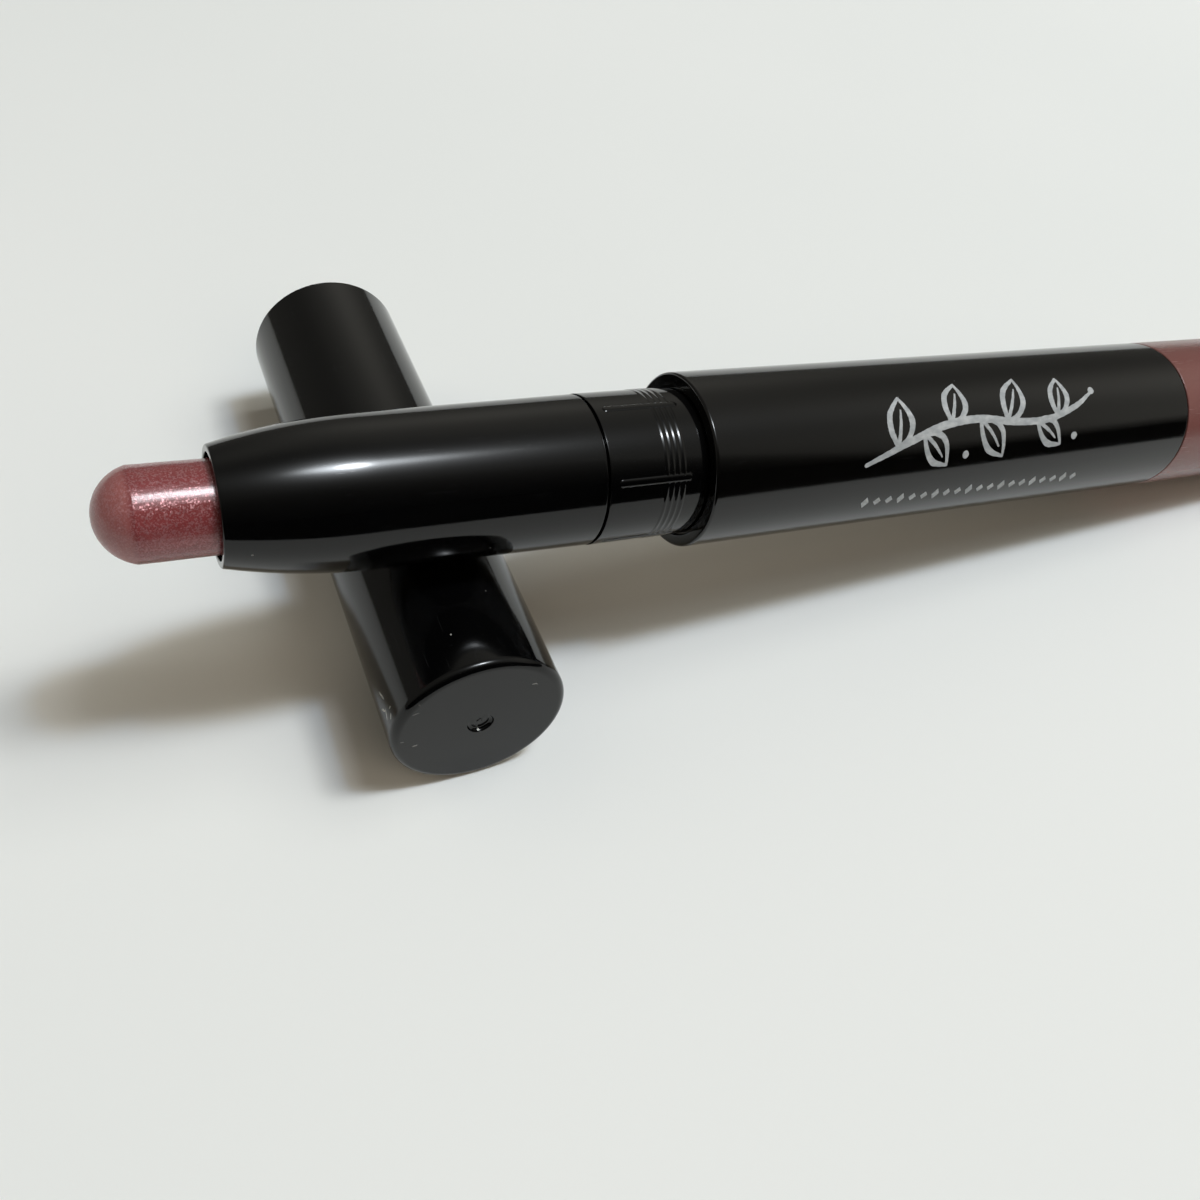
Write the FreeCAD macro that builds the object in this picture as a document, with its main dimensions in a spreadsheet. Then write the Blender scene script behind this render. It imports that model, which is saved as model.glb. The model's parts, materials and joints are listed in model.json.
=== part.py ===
# Twist-up lip crayon with its cap lying crosswise under the nose.
# Units: millimetres.  +Z up, +X towards the tail, the table is z = 0.
#
# Every crayon piece is modelled in the crayon's own frame: local X runs along
# the crayon from the mouth of the nose (0) to the end of the tail, and the
# placement tilts that frame so that the nose lies on the cap and the tail's
# lower edge lies on the table.  The cap pieces are modelled with local X along
# the cap from its closed end, and lie along +Y.
import FreeCAD, Part
import Sketcher
import math
import os

doc = FreeCAD.newDocument("lip_crayon")
sheet = doc.addObject("Spreadsheet::Sheet", "dims")

# ---------------------------------------------------------------- dimensions
ROWS = [
    # nose sleeve
    ("mouth_radius", 3.95, "outer radius of the mouth before its rim is rounded"),
    ("mouth_bore", 3.45, "bore radius at the mouth"),
    ("rim_round", 0.12, "rounding of the mouth rim"),
    ("knee_station", 9.5, "where the ogive runs into the straight taper"),
    ("knee_radius", 5.2, "outer radius there"),
    ("seam_station", 24.96, "nose to collar seam"),
    ("nose_rear_radius", 5.4, "outer radius at the seam"),
    ("seam_chamfer", 0.12, "each side of the seam groove"),
    ("seat_station", 2.4, "front seat of the guide tube"),
    ("nose_bore", 4.02, "bore that holds the guide tube"),
    ("socket_station", 18.0, "start of the rear socket"),
    ("socket_radius", 4.75, "rear socket bore"),
    # front collar
    ("spigot_station", 18.6, "front end of the collar spigot"),
    ("spigot_radius", 4.73, "collar spigot in the nose"),
    ("collar_radius", 5.43, "exposed neck"),
    ("barrel_station", 32.8, "front face of the barrel"),
    ("shank_start", 32.95, "start of the shank inside the barrel"),
    ("shank_radius", 5.58, "collar shank in the barrel"),
    ("shank_end", 42.0, "rear end of the collar"),
    ("collar_bore", 4.02, "collar bore on the guide tube"),
    ("pocket_station", 33.5, "shoulder in front of the spiral"),
    ("pocket_radius", 5.03, "pocket that the spiral turns in"),
    ("bead_station", 29.28, "first circumferential bead"),
    ("bead_pitch", 0.45, "bead spacing"),
    ("bead_count", 4, "circumferential beads"),
    ("bead_width", 0.34, "bead foot width"),
    ("bead_crest", 0.12, "bead crest width"),
    ("bead_height", 0.08, "bead height over the neck"),
    ("rib_station", 25.7, "start of the axial ribs"),
    ("rib_length", 5.8, "axial rib length"),
    ("rib_width", 0.56, "axial rib width"),
    ("rib_height", 0.1, "axial rib height"),
    ("rib_count", 6, "axial ribs round the neck"),
    # main barrel
    ("barrel_radius", 6.5, "barrel outer radius"),
    ("barrel_bore", 5.6, "barrel bore radius"),
    ("barrel_end", 81.3, "rear face of the barrel"),
    ("lip_round", 0.22, "rounding of the front lip"),
    ("rear_round", 0.12, "rounding of the rear edge"),
    ("snap_start", 75.9, "front of the snap groove"),
    ("snap_width", 1.5, "snap groove width"),
    ("snap_radius", 5.86, "snap groove radius"),
    # guide tube
    ("guide_bore", 3.45, "bore of the guide tube"),
    ("guide_radius", 4.0, "outer radius of the guide tube"),
    ("guide_flange", 4.7, "flange held between nose and collar"),
    ("guide_end", 62.0, "rear end of the guide tube"),
    ("slot_start", 33.4, "front end of the slots"),
    ("slot_end", 59.6, "rear end of the slots"),
    ("slot_width", 1.6, "slot width"),
    # drive spiral
    ("spiral_start", 33.6, "front face of the spiral"),
    ("spiral_end", 64.0, "rear face of the spiral"),
    ("spiral_bore", 4.06, "spiral bore radius"),
    ("spiral_radius", 4.95, "spiral outer radius"),
    ("groove_radius", 4.62, "bottom radius of the grooves"),
    ("groove_width", 1.7, "groove width along the axis"),
    ("groove_lead", 8.0, "lead of the double-start grooves"),
    ("groove_start", 30.0, "station where a groove crosses the lug plane"),
    ("groove_run", 30.6, "length of the grooves"),
    # tail plug
    ("plug_start", 58.0, "front end of the plug"),
    ("plug_radius", 5.52, "plug in the barrel bore"),
    ("plug_press", 5.58, "plug in the tail knob"),
    ("plug_end", 97.0, "rear end of the plug"),
    ("plug_socket", 4.97, "socket for the spiral"),
    ("plug_bore", 3.6, "plug bore"),
    ("ring_start", 69.4, "front of the ring groove"),
    ("ring_width", 1.2, "ring groove width"),
    ("ring_floor", 4.7, "ring groove floor radius"),
    ("snap_bead_start", 76.05, "front of the snap bead"),
    ("snap_bead_width", 1.2, "snap bead width"),
    ("snap_bead_radius", 5.78, "snap bead radius"),
    # drag ring
    ("ring_centre", 5.14, "centre radius of the ring section"),
    ("ring_section", 0.42, "radius of the ring section"),
    # tail knob
    ("knob_start", 81.4, "front face of the knob"),
    ("knob_end", 105.0, "rear face of the knob"),
    ("knob_floor", 103.4, "floor of the knob cavity"),
    ("knob_round", 0.7, "rounding of the rear edge"),
    # bullet carrier, measured from the front of its cup
    ("cup_station", 16.0, "front of the cup when the colour stands 7.2 out"),
    ("cup_radius", 3.38, "cup and lug block in the guide tube"),
    ("cup_bore", 2.85, "bore of the cup"),
    ("cup_depth", 6.2, "depth of the cup"),
    ("cup_length", 8.0, "length of the cup"),
    ("stem_radius", 2.0, "stem radius"),
    ("block_start", 31.4, "front of the lug block"),
    ("block_end", 36.6, "rear of the lug block"),
    ("lug_offset", 34.0, "lug centre behind the cup front"),
    ("lug_radius", 0.75, "lug radius"),
    ("lug_reach", 4.55, "radius that the lug tips reach"),
    # colour bullet, measured from its tip
    ("bullet_out", 7.2, "how far the tip stands out of the mouth"),
    ("bullet_radius", 3.05, "bullet radius"),
    ("dome_height", 2.33, "height of the dome"),
    ("bullet_foot", 2.84, "radius of the part inside the cup"),
    # cap, measured from its closed end
    ("cap_radius", 6.4, "cap outer radius"),
    ("cap_length", 45.0, "cap length"),
    ("cap_bore", 5.74, "cap bore radius on the collar"),
    ("cap_seat", 5.7, "cap bore radius round the liner"),
    ("cap_seat_length", 19.9, "length of the bore round the liner"),
    ("cap_floor", 1.5, "thickness of the closed end"),
    ("cap_round", 0.6, "rounding of the closed end"),
    ("cap_lip", 0.2, "rounding of the open end"),
    ("gate_radius", 0.93, "gate dimple radius"),
    ("gate_depth", 0.5, "gate dimple depth"),
    ("gate_nub", 0.28, "gate nub radius"),
    ("gate_nub_height", 0.22, "gate nub height"),
    ("detent_offset", 1.25, "detent ring behind the open end"),
    ("detent_width", 0.7, "detent ring foot width"),
    ("detent_crest", 0.2, "detent ring crest width"),
    ("detent_radius", 5.58, "detent ring radius"),
    ("liner_radius", 5.68, "liner outer radius"),
    ("liner_bore", 5.26, "liner bore radius"),
    ("liner_floor", 1.0, "liner floor thickness"),
    ("liner_length", 19.7, "liner length"),
    # the pose on the table
    ("cross_station", 15.44, "station of the nose over the cap axis"),
    ("cross_radius", 5.28, "nose radius at that station"),
    ("cross_gap", 0.1, "gap left between nose and cap"),
    ("cap_behind", 11.95, "closed end of the cap to the crayon axis"),
]
VALUE = {name: float(value) for name, value, note in ROWS}


def derive():
    """Tilt and origin, so that the tail edge is on z = 0, the nose lies on the cap, and the whole
    assembly's box is centred on x = 0 and y = 0."""
    v = VALUE
    a = v["knob_end"] - v["knob_round"] - v["cross_station"]
    b = v["cap_radius"] + v["cross_radius"] + v["cross_gap"] - v["barrel_radius"] + v["knob_round"]
    c = v["cap_radius"] - v["knob_round"]
    tilt = math.asin(c / math.hypot(a, b)) + math.atan2(b, a)
    sn, cs = math.sin(tilt), math.cos(tilt)
    reach = v["cap_radius"] + v["cross_radius"] + v["cross_gap"]
    z0 = v["cap_radius"] + v["cross_station"] * sn + reach * cs
    # lowest and highest x measured from the mouth centre
    dome = (v["bullet_radius"] ** 2 + v["dome_height"] ** 2) / (2 * v["dome_height"])
    low = (dome - v["bullet_out"]) * cs - dome
    high = (v["knob_end"] - v["knob_round"]) * cs + (v["barrel_radius"] - v["knob_round"]) * sn + v["knob_round"]
    x0 = -(low + high) / 2
    return [
        ("tilt_angle", round(math.degrees(tilt), 8), "tilt of the crayon, degrees"),
        ("mouth_x", round(x0, 8), "mouth centre, x"),
        ("mouth_y", round(v["cap_behind"] - v["cap_length"] / 2, 8), "mouth centre, y"),
        ("mouth_z", round(z0, 8), "mouth centre, z"),
        ("cap_x", round(x0 + v["cross_station"] * cs - reach * sn, 8), "cap axis, x"),
        ("cap_y", round(-v["cap_length"] / 2, 8), "closed end of the cap, y"),
        ("cap_z", round(v["cap_radius"], 8), "cap axis, z"),
    ]


for name, value, note in derive():
    ROWS.append((name, value, note))
    VALUE[name] = float(value)

for i, (name, value, note) in enumerate(ROWS, start=1):
    sheet.set("A%d" % i, name)
    sheet.set("B%d" % i, repr(value))
    sheet.set("C%d" % i, note)
    sheet.setAlias("B%d" % i, name)
doc.recompute()


class Dim:
    """A number together with the sheet expression that gives it."""

    def __init__(self, value, text):
        self.value = float(value)
        self.text = text

    def _join(self, other, sign, value):
        return Dim(value, "(%s %s %s)" % (self.text, sign, other.text))

    def __add__(self, other):
        other = dim(other)
        return self._join(other, "+", self.value + other.value)

    def __sub__(self, other):
        other = dim(other)
        return self._join(other, "-", self.value - other.value)

    def __mul__(self, other):
        other = dim(other)
        return self._join(other, "*", self.value * other.value)

    def __truediv__(self, other):
        other = dim(other)
        return self._join(other, "/", self.value / other.value)


def dim(x):
    if isinstance(x, Dim):
        return x
    if isinstance(x, str):
        return Dim(VALUE[x], "dims.%s" % x)
    return Dim(x, repr(float(x)))


d = dim


# ------------------------------------------------------------------- helpers
def origin(body, role):
    for feature in body.Origin.OriginFeatures:
        if feature.Role == role:
            return feature
    raise RuntimeError("no origin feature " + role)


def new_body(label):
    body = doc.addObject("PartDesign::Body", label)
    body.Label = label
    return body


def attach(sketch, body, role):
    sketch.AttachmentSupport = [(origin(body, role), "")]
    sketch.MapMode = "FlatFace"


def bind(sketch, kind, args, value):
    """Adds a constraint with a size and ties it to the sheet."""
    index = sketch.addConstraint(Sketcher.Constraint(kind, *args, value.value))
    sketch.setExpression("Constraints[%d]" % index, value.text)
    return index


def fix_point(sketch, geo, pos, x, y):
    """Ties a sketch point to (x, y), on an axis where a coordinate is zero."""
    if abs(x.value) < 1e-9:
        sketch.addConstraint(Sketcher.Constraint("PointOnObject", geo, pos, -2))
    else:
        bind(sketch, "DistanceX", (-1, 1, geo, pos), x)
    if abs(y.value) < 1e-9:
        sketch.addConstraint(Sketcher.Constraint("PointOnObject", geo, pos, -1))
    else:
        bind(sketch, "DistanceY", (-1, 1, geo, pos), y)


def polygon(body, name, points, role="XZ_Plane", arc=None):
    """A closed sketch through points.  arc = (index, how) turns the segment that starts at points[index]
    into an arc: how is 'tangent', tangent to the segment before it, or 'axis', centred on the local X axis."""
    sketch = body.newObject("Sketcher::SketchObject", name)
    attach(sketch, body, role)
    pts = [(dim(x), dim(y)) for x, y in points]
    vec = [FreeCAD.Vector(x.value, y.value, 0) for x, y in pts]
    n = len(pts)
    geometry = []
    first = [1] * n
    last = [2] * n
    for i in range(n):
        p, q = vec[i], vec[(i + 1) % n]
        if arc and arc[0] == i:
            if arc[1] == "tangent":
                before = (p - vec[i - 1]).normalize()
                normal = FreeCAD.Vector(-before.y, before.x, 0)
                chord = q - p
                size = chord.dot(chord) / (2 * chord.dot(normal))
                centre = p + normal * size
            else:
                x = (q.dot(q) - p.dot(p)) / (2 * (q.x - p.x)) if abs(q.y) > 0 else (p.dot(p) - q.dot(q)) / (2 * (p.x - q.x))
                centre = FreeCAD.Vector(x, 0, 0)
            radius = (p - centre).Length
            start = math.atan2(p.y - centre.y, p.x - centre.x)
            end = math.atan2(q.y - centre.y, q.x - centre.x)
            turn = (p - centre).cross(q - centre).z
            circle = Part.Circle(centre, FreeCAD.Vector(0, 0, 1), radius)
            if turn > 0:
                geometry.append(Part.ArcOfCircle(circle, start, end))
            else:
                geometry.append(Part.ArcOfCircle(circle, end, start))
                first[i], last[i] = 2, 1
        else:
            geometry.append(Part.LineSegment(p, q))
    sketch.addGeometry(geometry, False)
    for i in range(n):
        j = (i + 1) % n
        joined = "Tangent" if arc and arc == (j, "tangent") else "Coincident"
        sketch.addConstraint(Sketcher.Constraint(joined, i, last[i], j, first[j]))
    for i in range(n):
        fix_point(sketch, i, first[i], *pts[i])
    if arc and arc[1] == "axis":
        sketch.addConstraint(Sketcher.Constraint("PointOnObject", arc[0], 3, -1))
    return sketch


def revolve(body, sketch, name, kind="PartDesign::Revolution"):
    feature = body.newObject(kind, name)
    feature.Profile = sketch
    feature.ReferenceAxis = (sketch, ["H_Axis"])
    feature.Angle = 360
    sketch.Visibility = False
    return feature


def turned(label, points, arc=None):
    """A body turned about its local X axis from one closed section."""
    body = new_body(label)
    sketch = polygon(body, label + "_section", points, arc=arc)
    revolve(body, sketch, label + "_turned")
    doc.recompute()
    return body


def groove(body, name, points):
    """Cuts a ring out of a turned body and makes sure that it did."""
    before = body.Shape.Volume
    sketch = polygon(body, name + "_section", points)
    feature = revolve(body, sketch, name, "PartDesign::Groove")
    doc.recompute()
    if not body.Shape.Volume < before - 1e-6:
        raise RuntimeError(name + " cut nothing")
    return feature


def circles(shape, x, radius, tol=0.02):
    """Names of the circular edges about the local X axis at a station and a radius."""
    found = []
    for i, edge in enumerate(shape.Edges, start=1):
        curve = edge.Curve
        if isinstance(curve, Part.Circle) and abs(abs(curve.Axis.x) - 1) < 1e-6:
            if abs(curve.Center.x - x) < tol and abs(curve.Radius - radius) < tol:
                found.append("Edge%d" % i)
    if not found:
        raise RuntimeError("no circular edge at x=%g r=%g" % (x, radius))
    return found


def dress(body, kind, name, spots, size):
    """A fillet or chamfer on circular edges, each spot a (station, radius) pair."""
    base = body.Tip
    names = []
    for x, radius in spots:
        names += circles(base.Shape, dim(x).value, dim(radius).value)
    feature = body.newObject("PartDesign::" + kind, name)
    feature.Base = (base, names)
    key = "Radius" if kind == "Fillet" else "Size"
    setattr(feature, key, dim(size).value)
    feature.setExpression(key, dim(size).text)
    doc.recompute()
    return feature


def place_on_crayon(body, station=None):
    """Puts a piece modelled in the crayon's frame into the row frame.  station moves its own zero along the axis."""
    body.Placement = FreeCAD.Placement(FreeCAD.Vector(0, 0, 0), FreeCAD.Rotation(FreeCAD.Vector(0, 1, 0), VALUE["tilt_angle"]))
    if station is None:
        body.setExpression("Placement.Base.x", "dims.mouth_x")
        body.setExpression("Placement.Base.z", "dims.mouth_z")
    else:
        body.setExpression("Placement.Base.x", "dims.mouth_x + %s * cos(dims.tilt_angle * 1 deg)" % station)
        body.setExpression("Placement.Base.z", "dims.mouth_z - %s * sin(dims.tilt_angle * 1 deg)" % station)
    body.setExpression("Placement.Base.y", "dims.mouth_y")
    body.setExpression("Placement.Rotation.Angle", "dims.tilt_angle")


def place_on_cap(body, offset="0"):
    """Puts a cap piece into the row frame: local X becomes +Y."""
    body.Placement = FreeCAD.Placement(FreeCAD.Vector(0, 0, 0), FreeCAD.Rotation(FreeCAD.Vector(0, 0, 1), 90))
    body.setExpression("Placement.Base.x", "dims.cap_x")
    body.setExpression("Placement.Base.y", "dims.cap_y + %s" % offset)
    body.setExpression("Placement.Base.z", "dims.cap_z")


PIECES = []

# ------------------------------------------------------------ 1. nose sleeve
nose = turned(
    "nose_sleeve",
    [
        (d("seam_station"), d("nose_rear_radius")),
        (d("knee_station"), d("knee_radius")),
        (0, d("mouth_radius")),
        (0, d("mouth_bore")),
        (d("seat_station"), d("mouth_bore")),
        (d("seat_station"), d("nose_bore")),
        (d("socket_station"), d("nose_bore")),
        (d("socket_station"), d("socket_radius")),
        (d("seam_station"), d("socket_radius")),
    ],
    arc=(1, "tangent"),
)
dress(nose, "Fillet", "mouth_rim", [(0, "mouth_radius"), (0, "mouth_bore")], "rim_round")
dress(nose, "Chamfer", "nose_seam", [("seam_station", "nose_rear_radius")], "seam_chamfer")
place_on_crayon(nose)
PIECES.append(nose)

# ----------------------------------------------------------- 2. front collar
bead_points = []
for i in range(int(VALUE["bead_count"])):
    foot = d("bead_station") + d("bead_pitch") * i
    slope = (d("bead_width") - d("bead_crest")) / 2
    crest = d("collar_radius") + d("bead_height")
    bead_points += [
        (foot, d("collar_radius")),
        (foot + slope, crest),
        (foot + slope + d("bead_crest"), crest),
        (foot + d("bead_width"), d("collar_radius")),
    ]
collar = turned(
    "front_collar",
    [
        (d("spigot_station"), d("collar_bore")),
        (d("spigot_station"), d("spigot_radius")),
        (d("seam_station"), d("spigot_radius")),
        (d("seam_station"), d("collar_radius")),
    ]
    + bead_points
    + [
        (d("shank_start"), d("collar_radius")),
        (d("shank_start"), d("shank_radius")),
        (d("shank_end"), d("shank_radius")),
        (d("shank_end"), d("pocket_radius")),
        (d("pocket_station"), d("pocket_radius")),
        (d("pocket_station"), d("collar_bore")),
    ],
)
dress(collar, "Chamfer", "collar_seam", [("seam_station", "collar_radius")], "seam_chamfer")
# one axial rib, padded either side of the lug plane, then patterned round the neck
rib_sketch = polygon(
    collar,
    "rib_side",
    [
        (d("rib_station"), d("collar_radius") - 0.3),
        (d("rib_station"), d("collar_radius")),
        (d("rib_station") + d("rib_height"), d("collar_radius") + d("rib_height")),
        (d("rib_station") + d("rib_length") - d("rib_height"), d("collar_radius") + d("rib_height")),
        (d("rib_station") + d("rib_length"), d("collar_radius")),
        (d("rib_station") + d("rib_length"), d("collar_radius") - 0.3),
    ],
)
rib = collar.newObject("PartDesign::Pad", "rib")
rib.Profile = rib_sketch
rib.Length = VALUE["rib_width"]
rib.setExpression("Length", "dims.rib_width")
rib.Midplane = True
doc.recompute()
before = collar.Shape.Volume
ribs = collar.newObject("PartDesign::PolarPattern", "ribs")
ribs.Originals = [rib]
ribs.Axis = (origin(collar, "X_Axis"), [""])
ribs.Angle = 360
ribs.Occurrences = int(VALUE["rib_count"])
ribs.setExpression("Occurrences", "dims.rib_count")
collar.Tip = ribs
doc.recompute()
if not collar.Shape.Volume > before:
    raise RuntimeError("the ribs were not patterned")
place_on_crayon(collar)
PIECES.append(collar)

# ------------------------------------------------------------ 3. main barrel
barrel = turned(
    "main_barrel",
    [
        (d("barrel_station"), d("barrel_bore")),
        (d("barrel_station"), d("barrel_radius")),
        (d("barrel_end"), d("barrel_radius")),
        (d("barrel_end"), d("barrel_bore")),
    ],
)
groove(
    barrel,
    "snap_groove",
    [
        (d("snap_start"), d("barrel_bore") - 0.2),
        (d("snap_start"), d("snap_radius")),
        (d("snap_start") + d("snap_width"), d("snap_radius")),
        (d("snap_start") + d("snap_width"), d("barrel_bore") - 0.2),
    ],
)
dress(barrel, "Fillet", "front_lip", [("barrel_station", "barrel_radius")], "lip_round")
dress(barrel, "Fillet", "rear_edge", [("barrel_end", "barrel_radius")], "rear_round")
place_on_crayon(barrel)
PIECES.append(barrel)

# ------------------------------------------------------------- 4. guide tube
guide = turned(
    "guide_tube",
    [
        (d("seat_station"), d("guide_bore")),
        (d("seat_station"), d("guide_radius")),
        (d("socket_station"), d("guide_radius")),
        (d("socket_station"), d("guide_flange")),
        (d("spigot_station"), d("guide_flange")),
        (d("spigot_station"), d("guide_radius")),
        (d("guide_end"), d("guide_radius")),
        (d("guide_end"), d("guide_bore")),
    ],
)
half_slot = d("slot_width") / 2
slot = guide.newObject("Sketcher::SketchObject", "slot_outline")
attach(slot, guide, "XY_Plane")
a, b, r = VALUE["slot_start"] + VALUE["slot_width"] / 2, VALUE["slot_end"] - VALUE["slot_width"] / 2, VALUE["slot_width"] / 2
up = FreeCAD.Vector(0, 0, 1)
slot.addGeometry(
    [
        Part.LineSegment(FreeCAD.Vector(a, r, 0), FreeCAD.Vector(b, r, 0)),
        Part.ArcOfCircle(Part.Circle(FreeCAD.Vector(b, 0, 0), up, r), -math.pi / 2, math.pi / 2),
        Part.LineSegment(FreeCAD.Vector(b, -r, 0), FreeCAD.Vector(a, -r, 0)),
        Part.ArcOfCircle(Part.Circle(FreeCAD.Vector(a, 0, 0), up, r), math.pi / 2, 3 * math.pi / 2),
    ],
    False,
)
for one, p, two, q in ((0, 2, 1, 2), (1, 1, 2, 1), (2, 2, 3, 2), (3, 1, 0, 1)):
    slot.addConstraint(Sketcher.Constraint("Coincident", one, p, two, q))
fix_point(slot, 0, 1, d("slot_start") + half_slot, half_slot)
fix_point(slot, 0, 2, d("slot_end") - half_slot, half_slot)
fix_point(slot, 3, 3, d("slot_start") + half_slot, d(0))
fix_point(slot, 1, 3, d("slot_end") - half_slot, d(0))
slot.addConstraint(Sketcher.Constraint("Vertical", 1, 3, 1, 1))
slot.addConstraint(Sketcher.Constraint("Vertical", 3, 3, 3, 2))
doc.recompute()
before = guide.Shape.Volume
cut = guide.newObject("PartDesign::Pocket", "slots")
cut.Profile = slot
cut.Type = "ThroughAll"
cut.Midplane = True
doc.recompute()
if not guide.Shape.Volume < before - 10:
    raise RuntimeError("the slots cut nothing: %g to %g, sketch %d" % (before, guide.Shape.Volume, slot.solve()))
place_on_crayon(guide)
PIECES.append(guide)

# ----------------------------------------------------------- 5. drive spiral
spiral = turned(
    "drive_spiral",
    [
        (d("spiral_start"), d("spiral_bore")),
        (d("spiral_start"), d("spiral_radius")),
        (d("spiral_end"), d("spiral_radius")),
        (d("spiral_end"), d("spiral_bore")),
    ],
)
before = spiral.Shape.Volume
helix_section = polygon(
    spiral,
    "helix_section",
    [
        (d("groove_start") - d("groove_width") / 2, d("spiral_bore") - 0.35),
        (d("groove_start") - d("groove_width") / 2, d("groove_radius")),
        (d("groove_start") + d("groove_width") / 2, d("groove_radius")),
        (d("groove_start") + d("groove_width") / 2, d("spiral_bore") - 0.35),
    ],
)
helix = spiral.newObject("PartDesign::SubtractiveHelix", "helix_groove")
helix.Profile = helix_section
helix.ReferenceAxis = (helix_section, ["H_Axis"])
helix.Mode = 0
helix.Pitch = VALUE["groove_lead"]
helix.Height = VALUE["groove_run"]
helix.setExpression("Pitch", "dims.groove_lead")
helix.setExpression("Height", "dims.groove_run")
helix.LeftHanded = True
helix.Reversed = False
doc.recompute()
one_groove = spiral.Shape.Volume
if not one_groove < before - 5:
    raise RuntimeError("the first groove cut nothing")
starts = spiral.newObject("PartDesign::PolarPattern", "second_start")
starts.Originals = [helix]
starts.Axis = (origin(spiral, "X_Axis"), [""])
starts.Angle = 360
starts.Occurrences = 2
spiral.Tip = starts
doc.recompute()
if not spiral.Shape.Volume < one_groove - 5:
    raise RuntimeError("the second groove cut nothing")
place_on_crayon(spiral)
PIECES.append(spiral)

# -------------------------------------------------------------- 6. tail plug
plug = turned(
    "tail_plug",
    [
        (d("plug_start"), d("plug_socket")),
        (d("plug_start"), d("plug_radius")),
        (d("ring_start"), d("plug_radius")),
        (d("ring_start"), d("ring_floor")),
        (d("ring_start") + d("ring_width"), d("ring_floor")),
        (d("ring_start") + d("ring_width"), d("plug_radius")),
        (d("snap_bead_start"), d("plug_radius")),
        (d("snap_bead_start") + 0.2, d("snap_bead_radius")),
        (d("snap_bead_start") + d("snap_bead_width") - 0.1, d("snap_bead_radius")),
        (d("snap_bead_start") + d("snap_bead_width"), d("plug_radius")),
        (d("knob_start"), d("plug_radius")),
        (d("knob_start"), d("plug_press")),
        (d("plug_end"), d("plug_press")),
        (d("plug_end"), d("plug_bore")),
        (d("spiral_end"), d("plug_bore")),
        (d("spiral_end"), d("plug_socket")),
    ],
)
place_on_crayon(plug)
PIECES.append(plug)

# ------------------------------------------------------------ 7. drag o-ring
ring = new_body("drag_o_ring")
ring_section = ring.newObject("Sketcher::SketchObject", "ring_section_circle")
attach(ring_section, ring, "XZ_Plane")
ring_x = d("ring_start") + d("ring_width") / 2
ring_section.addGeometry(
    [Part.Circle(FreeCAD.Vector(ring_x.value, VALUE["ring_centre"], 0), FreeCAD.Vector(0, 0, 1), VALUE["ring_section"])], False
)
bind(ring_section, "Radius", (0,), d("ring_section"))
fix_point(ring_section, 0, 3, ring_x, d("ring_centre"))
revolve(ring, ring_section, "ring_turned")
doc.recompute()
place_on_crayon(ring)
PIECES.append(ring)

# -------------------------------------------------------------- 8. tail knob
knob = turned(
    "tail_knob",
    [
        (d("knob_start"), d("barrel_bore")),
        (d("knob_start"), d("barrel_radius")),
        (d("knob_end"), d("barrel_radius")),
        (d("knob_end"), 0),
        (d("knob_floor"), 0),
        (d("knob_floor"), d("barrel_bore")),
    ],
)
dress(knob, "Fillet", "knob_end_round", [("knob_end", "barrel_radius")], "knob_round")
dress(knob, "Fillet", "knob_front_round", [("knob_start", "barrel_radius")], "rear_round")
place_on_crayon(knob)
PIECES.append(knob)

# --------------------------------------------------------- 9. bullet carrier
carrier = turned(
    "bullet_carrier",
    [
        (0, d("cup_bore")),
        (0, d("cup_radius")),
        (d("cup_length"), d("cup_radius")),
        (d("cup_length"), d("stem_radius")),
        (d("block_start"), d("stem_radius")),
        (d("block_start"), d("cup_radius")),
        (d("block_end"), d("cup_radius")),
        (d("block_end"), 0),
        (d("cup_depth"), 0),
        (d("cup_depth"), d("cup_bore")),
    ],
)
lug = carrier.newObject("Sketcher::SketchObject", "lug_circle")
attach(lug, carrier, "XY_Plane")
lug.addGeometry([Part.Circle(FreeCAD.Vector(VALUE["lug_offset"], 0, 0), FreeCAD.Vector(0, 0, 1), VALUE["lug_radius"])], False)
bind(lug, "Radius", (0,), d("lug_radius"))
fix_point(lug, 0, 3, d("lug_offset"), d(0))
lugs = carrier.newObject("PartDesign::Pad", "lugs")
lugs.Profile = lug
lugs.Length = 2 * VALUE["lug_reach"]
lugs.setExpression("Length", "2 * dims.lug_reach")
lugs.Midplane = True
doc.recompute()
place_on_crayon(carrier, "dims.cup_station")
PIECES.append(carrier)

# ---------------------------------------------------------- 10. colour bullet
bullet_seat = d("cup_station") + d("bullet_out")
bullet = turned(
    "color_bullet",
    [
        (0, 0),
        (d("dome_height"), d("bullet_radius")),
        (bullet_seat, d("bullet_radius")),
        (bullet_seat, d("bullet_foot")),
        (bullet_seat + d("cup_depth"), d("bullet_foot")),
        (bullet_seat + d("cup_depth"), 0),
    ],
    arc=(0, "axis"),
)
place_on_crayon(bullet, "(0 - dims.bullet_out)")
PIECES.append(bullet)

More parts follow.
